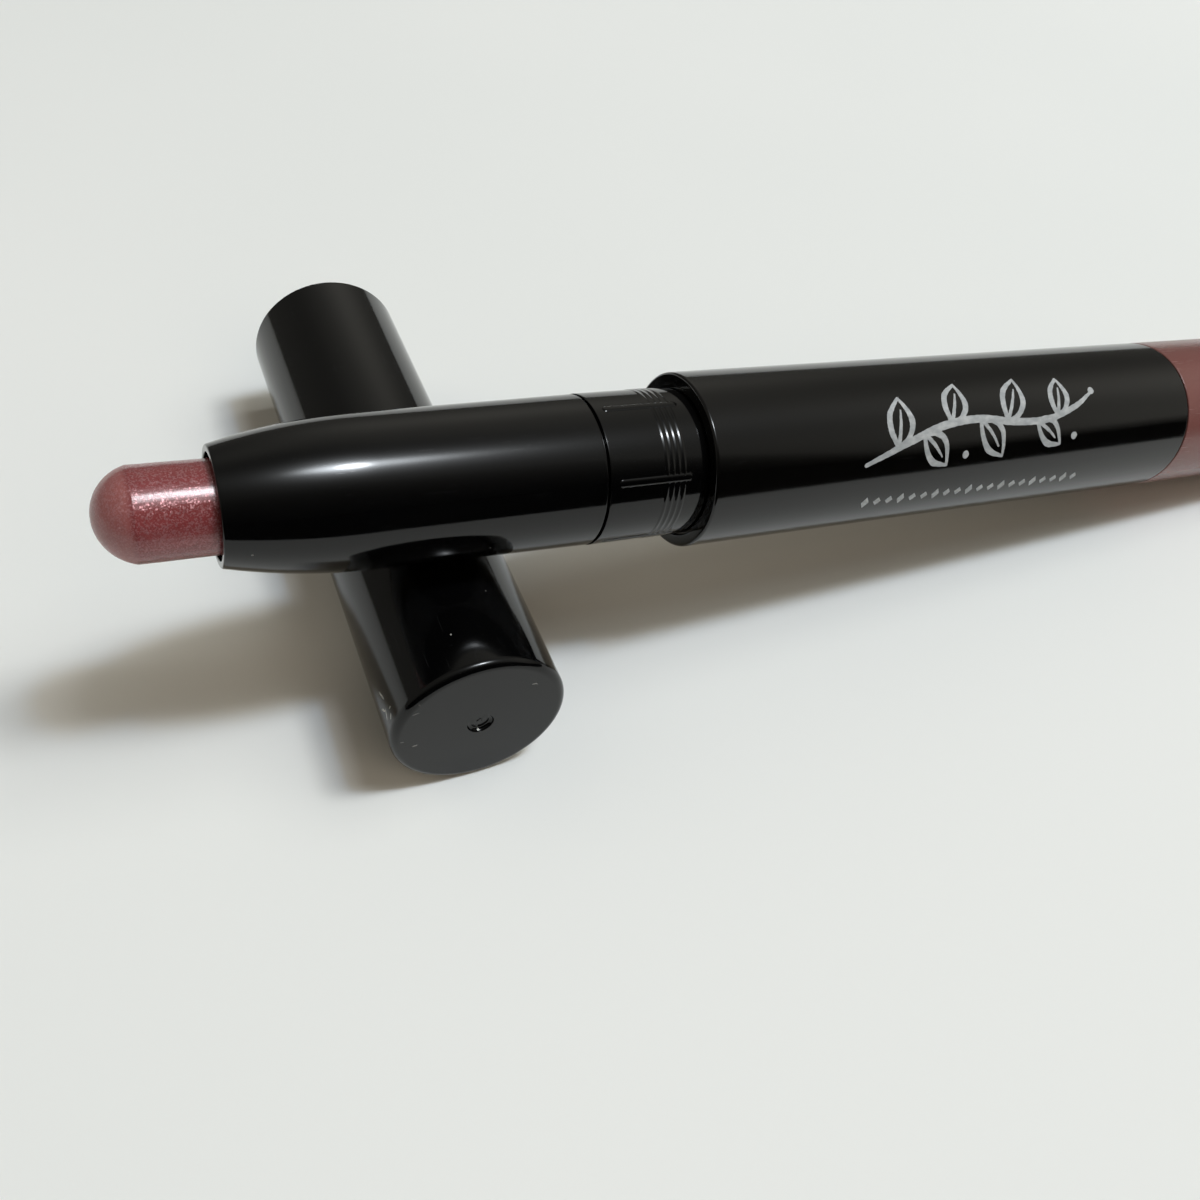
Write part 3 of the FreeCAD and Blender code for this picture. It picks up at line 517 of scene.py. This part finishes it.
def neck_relief(x, r, turn):
    """Four fine rings, and six rounded ribs along the neck that run under them."""
    if abs(r - NECK) > 1e-6 or not 25.2 < x < 32.4:
        return np.full(len(turn), r)
    lift = 0.0
    for middle in BEADS:
        t = (x - middle) / 0.185
        if abs(t) < 1:
            lift = max(lift, 0.033 * math.cos(math.pi * t / 2) ** 2)
    radius = np.full(len(turn), r + lift)
    beyond = max(0.0, RIB_FROM - x, x - RIB_TO)
    for rib in RIBS:
        away = (turn - rib + math.pi) % (2 * math.pi) - math.pi
        t = np.sqrt((away * r) ** 2 + beyond**2) / RIB_HALF
        hump = RIB_UP * np.clip(1 - np.minimum(t, 1.0) ** 2.6, 0.0, 1.0) ** 0.72
        radius = np.maximum(radius, r + hump)
    return radius


rows = [25.2, 25.45, 25.62]
rows += [25.7 + 0.56 * (1 - math.cos(math.pi * k / 16)) / 2 for k in range(0, 10)]
rows += [26.1 + 0.21 * k for k in range(0, 15)]
for middle in BEADS:
    rows += [middle + 0.186 * math.sin(math.radians(a)) for a in (-90, -76, -62, -48, -34, -18, 0, 18, 34, 48, 62, 76, 90)]
rows += [31.05, 31.1]
rows += [31.5 - 0.56 * (1 - math.cos(math.pi * k / 16)) / 2 for k in range(9, -1, -1)]
rows += [31.6, 31.9, 32.3, 32.7, 32.9]
rows = sorted(set(round(v, 4) for v in rows))
angles = []
rib_half_angle = math.degrees(RIB_HALF / NECK)
for k in range(6):
    middle = 60.0 * k
    for t in (-1.02, -0.97, -0.9, -0.8, -0.67, -0.5, -0.3, -0.1, 0.1, 0.3, 0.5, 0.67, 0.8, 0.9, 0.97, 1.02):
        angles.append(middle + rib_half_angle * t)
    start, stop = middle + rib_half_angle * 1.02, middle + 60 - rib_half_angle * 1.02
    angles += [start + (stop - start) * j / 34 for j in range(1, 34)]
section = [(24.96, 4.73)] + rounded([(24.96, 4.73), (24.96, 5.06), (25.05, 5.08, 0.02), (25.07, NECK, 0.04), (25.2, NECK)], 4)[1:-1]
section += [(x, NECK) for x in rows]
section += rounded([(32.9, NECK), (32.95, NECK), (32.95, 5.58, 0.03), (33.3, 5.58)], 3)[1:-1]
section += spread([(33.3, 5.58), (42.0, 5.58), (42.0, 5.03), (33.5, 5.03), (33.5, 4.02), (18.6, 4.02), (18.6, 4.73), (24.96, 4.73)], 3.0, 0.05, closed=False)[:-1]
collar = turned("front_collar_neck", section, angles, neck_relief, sharp=38.0)
seat(collar, CRAYON, "barrel", "black_shell", black_shell, "front_collar")

# -------------------------------------------------------------- main barrel
section = rounded(
    [
        (32.8, 5.6, 0.06),
        (32.8, 6.5, 0.22),
        (81.3, 6.5, 0.12),
        (81.3, 5.6, 0.05),
        (77.4, 5.6),
        (77.4, 5.86),
        (75.9, 5.86),
        (75.9, 5.6),
    ],
    8,
)
barrel = turned("main_barrel_shell", spread(section, 1.6, 0.05), 288)
seat(barrel, CRAYON, "barrel", "black_barrel", black_barrel, "main_barrel")

# ---------------------------------------------------------------- tail knob
section = rounded(
    [
        (81.4, 5.6, 0.05),
        (81.4, 6.5, 0.1),
        (105.0, 6.5, 0.7),
        (105.0, 0.0),
        (103.4, 0.0),
        (103.4, 5.6, 0.2),
    ],
    8,
)
at = [i for i, p in enumerate(section) if p[1] < 1e-9]
section = section[at[1]:] + section[: at[0] + 1]
knob = turned("tail_knob_shell", spread(section, 1.6, 0.05, closed=False), 288, closed=False)
seat(knob, CRAYON, "tail", "rose_knob", rose, "tail_knob")

# ------------------------------------------------------------ colour bullet
TIP, BODY, DOME = -7.2, 3.05, 2.33
BALL = (BODY**2 + DOME**2) / (2 * DOME)


def wax_relief(x, r, turn):
    """Drawn wax: long shallow streaks down the side and a slightly uneven dome."""
    out = np.full(len(turn), r)
    fade = min(1.0, max(0.0, r / BODY)) ** 2
    for k, (waves, phase, depth, slow) in enumerate(
        ((3, 0.4, 0.009, 0.21), (7, 1.9, 0.006, 0.34), (17, 0.8, 0.0032, 0.55), (41, 2.7, 0.0016, 0.9), (83, 1.1, 0.0009, 1.4))
    ):
        out += fade * depth * np.sin(waves * turn + phase + 0.8 * math.sin(slow * x + k))
    out += fade * 0.006 * math.sin(1.9 * x + 0.5) * np.cos(2 * turn + 0.7)
    return out


section = [(TIP, 0.0)]
edge = math.asin(BODY / BALL)
for k in range(1, 31):
    a = edge * k / 31
    section.append((TIP + BALL * (1 - math.cos(a)), BALL * math.sin(a)))
section += rounded(
    [
        (TIP + DOME - 0.3, BODY - 0.3 * math.cos(edge) / math.sin(edge)),
        (TIP + DOME, BODY, 0.22),
        (TIP + DOME + 0.3, BODY),
    ],
    5,
)[1:-1]
tail_rows = [TIP + DOME + 0.2 + 0.22 * k for k in range(28)] + [2.2, 4.0, 6.0, 8.0, 10.0, 12.0, 14.0, 15.9]
section += [(x, BODY) for x in tail_rows]
section += [(16.0, BODY), (16.0, 2.84), (22.1, 2.84), (22.2, 2.74), (22.2, 0.0)]
bullet = turned("color_bullet_stick", section, 256, wax_relief, closed=False, sharp=34.0)
seat(bullet, CRAYON, "bullet", "lip_colour", wax, "color_bullet")

# ---------------------------------------------------------------- cap shell
section = rounded(
    [
        (0.235, 0.0),
        (0.235, 0.16, 0.04),
        (0.275, 0.20, 0.03),
        (0.29, 0.94, 0.24),
        (0.0, 0.96, 0.05),
        (0.0, 6.4, 0.6),
        (45.0, 6.4, 0.2),
        (45.0, 5.74, 0.06),
        (44.0, 5.74),
        (43.75, 5.58, 0.04),
        (43.55, 5.58, 0.04),
        (43.3, 5.74),
        (21.4, 5.74),
        (21.4, 5.7),
        (1.5, 5.7),
        (1.5, 0.0),
    ],
    9,
)


def gate_relief(x, r, turn):
    """The gate's broken-off nub and the edge of its dimple aren't quite round."""
    out = np.full(len(turn), r)
    if 0.02 < x < 0.28 and 0.10 < r < 0.30:
        out += 0.03 * np.sin(3 * turn + 0.6) + 0.018 * np.sin(5 * turn + 2.0)
    if x < 0.6 and 0.80 < r < 1.05:
        out += 0.012 * np.sin(4 * turn + 1.0)
    return out


cap = turned("cap_shell_body", spread(section, 1.6, 0.05, closed=False), 288, gate_relief, closed=False)
seat(cap, CAP, "cap", "black_cap", black_cap, "cap_shell")

section = rounded([(1.5, 0.0), (1.5, 5.68), (21.2, 5.68, 0.1), (21.2, 5.26, 0.1), (2.5, 5.26, 0.4), (2.5, 0.0)], 5)
liner = turned("cap_liner_cup", spread(section, 2.0, 0.05, closed=False), 224, closed=False)
seat(liner, CAP, "cap", "liner_black", liner_black, "cap_liner")


# ----------------------------------------------------------- printed sprig
# Drawn on the flat as strokes, s along the barrel and t up round it, then laid on the
# barrel as a thin closed film.  A leafy sprig over a row of small lozenges.
def stroke(points, widths, closed=False):
    """Dense (s, t, half width) samples along a smooth line through points."""
    pts = np.array(points, float)
    wid = np.array(widths, float)
    out = []
    for i in range(len(pts) - 1):
        p0, p1, p2, p3 = pts[max(i - 1, 0)], pts[i], pts[i + 1], pts[min(i + 2, len(pts) - 1)]
        steps = max(4, int(np.linalg.norm(p2 - p1) / 0.04))
        for t in np.linspace(0, 1, steps, endpoint=False):
            p = 0.5 * (2 * p1 + (p2 - p0) * t + (2 * p0 - 5 * p1 + 4 * p2 - p3) * t * t + (3 * p1 - p0 - 3 * p2 + p3) * t**3)
            out.append((p[0], p[1], (wid[i] * (1 - t) + wid[i + 1] * t) / 2))
    out.append((pts[-1][0], pts[-1][1], wid[-1] / 2))
    return out


def leaf(root, angle, length, width, bend):
    """A leaf drawn in outline with a midrib, from its root."""
    ca, sa = math.cos(math.radians(angle)), math.sin(math.radians(angle))

    def to(s, t):
        t += bend * (s / length) ** 2
        return (root[0] + ca * s - sa * t, root[1] + sa * s + ca * t)

    w = 0.43
    upper = [to(0, 0), to(0.28 * length, 0.40 * width), to(0.60 * length, 0.45 * width), to(length, 0)]
    lower = [to(0, 0), to(0.26 * length, -0.36 * width), to(0.62 * length, -0.44 * width), to(length, 0)]
    rib = [to(0, 0), to(0.40 * length, 0.02 * width), to(0.74 * length, 0.0)]
    return [
        stroke(upper, (w * 0.8, w * 1.25, w * 1.1, w * 0.5)),
        stroke(lower, (w * 0.8, w * 1.0, w * 1.3, w * 0.5)),
        stroke(rib, (w * 0.9, w * 0.7, w * 0.35)),
    ]


stem = [(45.9, 0.55), (47.6, 1.15), (50.2, 2.05), (53.6, 3.0), (57.2, 3.25), (60.9, 2.75), (64.4, 2.7), (67.6, 3.5), (69.6, 4.5)]
strokes = [stroke(stem, (0.30, 0.44, 0.58, 0.64, 0.62, 0.60, 0.56, 0.48, 0.26))]
strokes += leaf((48.9, 1.65), 72, 3.9, 2.3, 0.5)
strokes += leaf((51.5, 2.5), -42, 3.5, 2.1, -0.4)
strokes += leaf((54.3, 3.12), 60, 3.4, 2.2, 0.5)
strokes += leaf((57.3, 3.25), -48, 3.9, 2.2, -0.4)
strokes += leaf((60.1, 2.85), 56, 3.9, 2.2, 0.5)
strokes += leaf((63.3, 2.65), -34, 3.3, 1.9, -0.3)
strokes += leaf((65.6, 2.9), 68, 3.3, 1.9, 0.4)
for s, t in ((69.9, 4.75), (67.4, 1.15), (55.7, 0.55)):
    strokes.append([(s, t, 0.32)])

STEP = 0.05
s_axis = np.arange(45.2, 70.8, STEP)
t_axis = np.arange(-0.6, 7.0, STEP)
S, T = np.meshgrid(s_axis, t_axis, indexing="ij")
field = np.full(S.shape, 9.0)
for line in strokes:
    line = np.array(line)
    reach = 0.6
    i0, i1 = np.searchsorted(s_axis, (line[:, 0].min() - reach, line[:, 0].max() + reach))
    j0, j1 = np.searchsorted(t_axis, (line[:, 1].min() - reach, line[:, 1].max() + reach))
    part_s, part_t = S[i0:i1, j0:j1], T[i0:i1, j0:j1]
    best = field[i0:i1, j0:j1]
    for s, t, half in line:
        np.minimum(best, np.hypot(part_s - s, part_t - t) - half, out=best)
field += 0.016 * np.sin(S * 9.1 + 2.1 * np.sin(T * 7.3)) * np.cos(T * 11.7 + 1.3)


def film(name, field, s_axis, t_axis, radius, zero, low, high):
    """Closed film over the part of the grid where field is below zero."""
    points, faces, found = [], [], {}

    def corner(i, j):
        key = (i, j)
        if key not in found:
            found[key] = len(points)
            points.append((s_axis[i], t_axis[j]))
        return found[key]

    def cut(i, j, k, l):
        key = tuple(sorted(((i, j), (k, l))))
        if key not in found:
            a, b = field[key[0]], field[key[1]]
            f = min(0.97, max(0.03, a / (a - b)))
            found[key] = len(points)
            (i, j), (k, l) = key
            points.append((s_axis[i] * (1 - f) + s_axis[k] * f, t_axis[j] * (1 - f) + t_axis[l] * f))
        return found[key]

    inside = field < 0
    some = inside[:-1, :-1] | inside[1:, :-1] | inside[:-1, 1:] | inside[1:, 1:]
    for i, j in zip(*np.nonzero(some)):
        i, j = int(i), int(j)
        ring = [(i, j), (i + 1, j), (i + 1, j + 1), (i, j + 1)]
        face = []
        for k in range(4):
            a, b = ring[k], ring[(k + 1) % 4]
            if inside[a]:
                face.append(corner(*a))
            if inside[a] != inside[b]:
                face.append(cut(*a, *b))
        if len(face) > 2:
            faces.append(tuple(face))
    count = len(points)

    def place(s, t, r):
        a = zero - t / radius
        return (s, -r * math.sin(a), r * math.cos(a))

    top = [place(s, t, high) for s, t in points]
    bottom = [place(s, t, low) for s, t in points]
    edges = {}
    for face in faces:
        for k in range(len(face)):
            edges[(face[k], face[(k + 1) % len(face)])] = face
    sides = [(a, b, b + count, a + count) for a, b in edges if (b, a) not in edges]
    every = list(faces) + [tuple(v + count for v in reversed(f)) for f in faces] + [tuple(reversed(f)) for f in sides]
    return solid(name, top + bottom, every, 60.0)


sprig = film("barrel_print_sprig", field, s_axis, t_axis, 6.5, math.radians(68.0), 6.488, 6.516)
seat(sprig, CRAYON, "barrel", "black_barrel", ink)

s_axis = np.arange(46.0, 70.4, STEP)
t_axis = np.arange(-0.7, 0.72, STEP)
S, T = np.meshgrid(s_axis, t_axis, indexing="ij")
field = np.full(S.shape, 9.0)
for k in range(20):
    middle = 46.9 + 1.17 * k
    tall = 0.42 if k % 3 else 0.58
    field = np.minimum(field, (np.abs(S - middle) / 0.37 + np.abs(T) / tall - 1) * 0.2)
row = film("barrel_print_lozenges", field, s_axis, t_axis, 6.5, math.radians(93.0), 6.488, 6.514)
seat(row, CRAYON, "barrel", "black_barrel", ink)

# -------------------------------------------------------------------- floor
g = Graph("pale_table_top")
g.tree.nodes.remove(g.mm.node)
coordinate = [n for n in g.tree.nodes if n.type == "TEX_COORD"][0]
spot = coordinate.outputs["Object"]


def floor_noise(scale, detail=3.0, rough=0.5):
    n = g.tree.nodes.new("ShaderNodeTexNoise")
    g.join(spot, n.inputs["Vector"])
    n.inputs["Scale"].default_value = scale
    n.inputs["Detail"].default_value = detail
    n.inputs["Roughness"].default_value = rough
    return n.outputs["Fac"]


drift = floor_noise(7.0, 2.0)
g.set(Base_Color=g.mix(g.band(drift, 0.35, 0.65), colour(0.790, 0.800, 0.785), colour(0.815, 0.820, 0.805)))
g.set(Roughness=g.band(floor_noise(60.0), 0.3, 0.7, 0.30, 0.38), IOR=1.42)
g.set(Normal=g.bump(floor_noise(25.0, 4.0), 0.00002, 1.0))
# matte, so that the flag further down leaves no mirror image on the table
g.shader.inputs["Specular IOR Level"].default_value = 0.0

half = 2.6
mesh = bpy.data.meshes.new("table_top")
mesh.from_pydata([(-half, -half, 0), (half, -half, 0), (half, half, 0), (-half, half, 0)], [], [(0, 1, 2, 3)])
table = bpy.data.objects.new("table_top", mesh)
scene.collection.objects.link(table)
table.data.materials.append(g.material)

# ---------------------------------------------------------------- surroundings
world = bpy.data.worlds.new("studio")
scene.world = world
world.use_nodes = True
# the room is what the gloss mirrors; the area lamps below light everything else
world.cycles_visibility.diffuse = False
tree = world.node_tree
tree.nodes.clear()
output = tree.nodes.new("ShaderNodeOutputWorld")
background = tree.nodes.new("ShaderNodeBackground")
tree.links.new(background.outputs[0], output.inputs[0])
where = tree.nodes.new("ShaderNodeTexCoord").outputs["Generated"]
LAMP = Vector((0.229, -0.160, 0.960)).normalized()


def wm(operation, a, b=0.0):
    n = tree.nodes.new("ShaderNodeMath")
    n.operation = operation
    for socket, value in zip(n.inputs, (a, b)):
        if hasattr(value, "links"):
            tree.links.new(value, socket)
        else:
            socket.default_value = value
    return n.outputs[0]


def lobe(direction, spread_deg, strength):
    """A soft patch of light round a direction."""
    n = tree.nodes.new("ShaderNodeVectorMath")
    n.operation = "DOT_PRODUCT"
    tree.links.new(where, n.inputs[0])
    n.inputs[1].default_value = Vector(direction).normalized()
    sigma = math.radians(spread_deg)
    away = wm("SUBTRACT", n.outputs["Value"], 1.0)
    return wm("MULTIPLY", wm("EXPONENT", wm("MULTIPLY", away, 2.0 / sigma**2)), strength)


def heading(azimuth, elevation):
    a, e = math.radians(azimuth), math.radians(elevation)
    return (math.cos(a) * math.cos(e), math.sin(a) * math.cos(e), math.sin(e))


level = 0.115
for part in (
    lobe(LAMP, 9.3, 6.8),
    lobe(LAMP, 5.0, 22.0),
    lobe((0.34, -0.14, 0.93), 4.2, 9.0),
    lobe((0.12, -0.155, 0.98), 4.2, 8.0),
    lobe(LAMP, 16.0, 1.3),
    lobe(heading(0, 28), 17.0, 0.36),
    lobe(heading(65, 28), 17.0, 0.375),
    lobe(heading(-33, 28), 17.0, 0.205),
    lobe(heading(-30, 8), 17.0, 0.20),
    lobe(heading(0, 50), 17.0, 0.225),
    lobe(heading(45, 50), 17.0, 0.235),
    lobe(heading(90, 50), 17.0, 0.175),
    lobe(heading(-45, 50), 17.0, 0.115),
    lobe(heading(180, 70), 17.0, 0.17),
    lobe(heading(-90, 70), 17.0, 0.09),
    lobe(heading(165, 28), 38.0, 0.11),
):
    level = wm("ADD", part, level)
glow = tree.nodes.new("ShaderNodeMix")
glow.data_type = "RGBA"
glow.inputs[6].default_value = (1.0, 0.972, 0.87, 1.0)
glow.inputs[7].default_value = (0.93, 1.0, 1.07, 1.0)
tree.links.new(wm("MINIMUM", lobe(LAMP, 24.0, 1.0), 1.0), glow.inputs[0])
tree.links.new(glow.outputs[2], background.inputs["Color"])
tree.links.new(level, background.inputs["Strength"])

lamp_data = bpy.data.lights.new("ceiling_lamp", "AREA")
lamp_data.shape = "DISK"
lamp_data.size = 0.24
lamp_data.color = (0.96, 0.975, 1.0)
lamp_data.energy = 2.5
lamp = bpy.data.objects.new("ceiling_lamp", lamp_data)
scene.collection.objects.link(lamp)
lamp.location = LAMP * 1.7
lamp.rotation_euler = (-LAMP).to_track_quat("-Z", "Y").to_euler()
lamp.visible_camera = False

# the far end of the long lamp and broad soft fills; they don't show in the gloss
for name, toward, size, energy, tint in (
    ("lamp_tail", (0.34, -0.17, 0.925), 0.16, 5.4, (0.56, 0.75, 1.0)),
    ("lamp_spill", (0.46, -0.16, 0.87), 0.30, 9.2, (0.97, 1.0, 1.0)),
    ("right_fill", (0.54, -0.10, 0.84), 1.1, 10.9, (1.0, 1.0, 0.92)),
    ("near_fill", (0.25, -0.70, 0.66), 1.2, 5.0, (1.0, 0.85, 0.66)),
    ("left_fill", (-0.50, 0.42, 0.76), 1.8, 6.1, (1.0, 0.905, 0.74)),
):
    fill_data = bpy.data.lights.new(name, "AREA")
    fill_data.shape = "DISK"
    fill_data.size = size
    fill_data.color = tint
    fill_data.energy = energy
    fill = bpy.data.objects.new(name, fill_data)
    scene.collection.objects.link(fill)
    toward = Vector(toward).normalized()
    fill.location = toward * 1.7
    fill.rotation_euler = (-toward).to_track_quat("-Z", "Y").to_euler()
    fill.visible_camera = False
    fill.visible_glossy = False

# a soft-edged black flag towards the viewer, seen only in the gloss; it thins out upwards
# and stands just beyond the furthest place that the cap is drawn to
flag_graph = Graph("flag_black")
flag_graph.set(Base_Color=flag_graph.mix(flag_graph.noise(flag_graph.mm, 0.1), colour(0.004, 0.004, 0.004), colour(0.006, 0.006, 0.006)), Roughness=1.0)
flag_graph.shader.inputs["Specular IOR Level"].default_value = 0.0
apart = flag_graph.tree.nodes.new("ShaderNodeSeparateXYZ")
flag_graph.join(flag_graph.mm, apart.inputs[0])
beyond = flag_graph.band(apart.outputs[0], 21.0, 54.0)
foot = flag_graph.math("ADD", flag_graph.math("MULTIPLY", beyond, -8.1), 32.9)
rise = flag_graph.math("ADD", flag_graph.math("MULTIPLY", beyond, -58.5), 73.3)
height = flag_graph.math("DIVIDE", flag_graph.math("SUBTRACT", apart.outputs[2], foot), rise)
blend = flag_graph.tree.nodes.new("ShaderNodeMixShader")
clear = flag_graph.tree.nodes.new("ShaderNodeBsdfTransparent")
flag_graph.join(flag_graph.band(height, 0.0, 1.0, smooth=False), blend.inputs[0])
flag_graph.join(flag_graph.shader.outputs[0], blend.inputs[1])
flag_graph.join(clear.outputs[0], blend.inputs[2])
flag_graph.join(blend.outputs[0], flag_graph.out.inputs["Surface"])
mesh = bpy.data.meshes.new("black_flag")
mesh.from_pydata([(-0.34, -0.070, 0.0), (0.34, -0.070, 0.0), (0.34, -0.070, 0.107), (-0.34, -0.070, 0.107)], [], [(0, 1, 2, 3)])
flag = bpy.data.objects.new("black_flag", mesh)
scene.collection.objects.link(flag)
flag.data.materials.append(flag_graph.material)
flag.visible_camera = False
flag.visible_diffuse = False
flag.visible_shadow = False
flag.visible_transmission = False
flag.visible_volume_scatter = False

# ------------------------------------------------------------------- camera
camera_data = bpy.data.cameras.new("camera")
camera_data.sensor_width = 36.0
camera_data.lens = 33.375
camera_data.clip_start = 0.001
camera_data.clip_end = 20.0
camera = bpy.data.objects.new("camera", camera_data)
scene.collection.objects.link(camera)
right = Vector((0.91907215, -0.38058225, 0.10229145))
down = Vector((-0.22744648, -0.72422813, -0.65096983))
ahead = Vector((0.3218299, 0.57502241, -0.75217999))
spot = Vector((-50.43463888, -64.0042767, 71.14551616)) * MM
camera.matrix_world = Matrix(
    (
        (right.x, -down.x, -ahead.x, spot.x),
        (right.y, -down.y, -ahead.y, spot.y),
        (right.z, -down.z, -ahead.z, spot.z),
        (0.0, 0.0, 0.0, 1.0),
    )
)
scene.camera = camera
scene.view_settings.view_transform = "Standard"
scene.view_settings.look = "None"

# --------------------------------------------------------------------- update
bpy.context.view_layer.update()
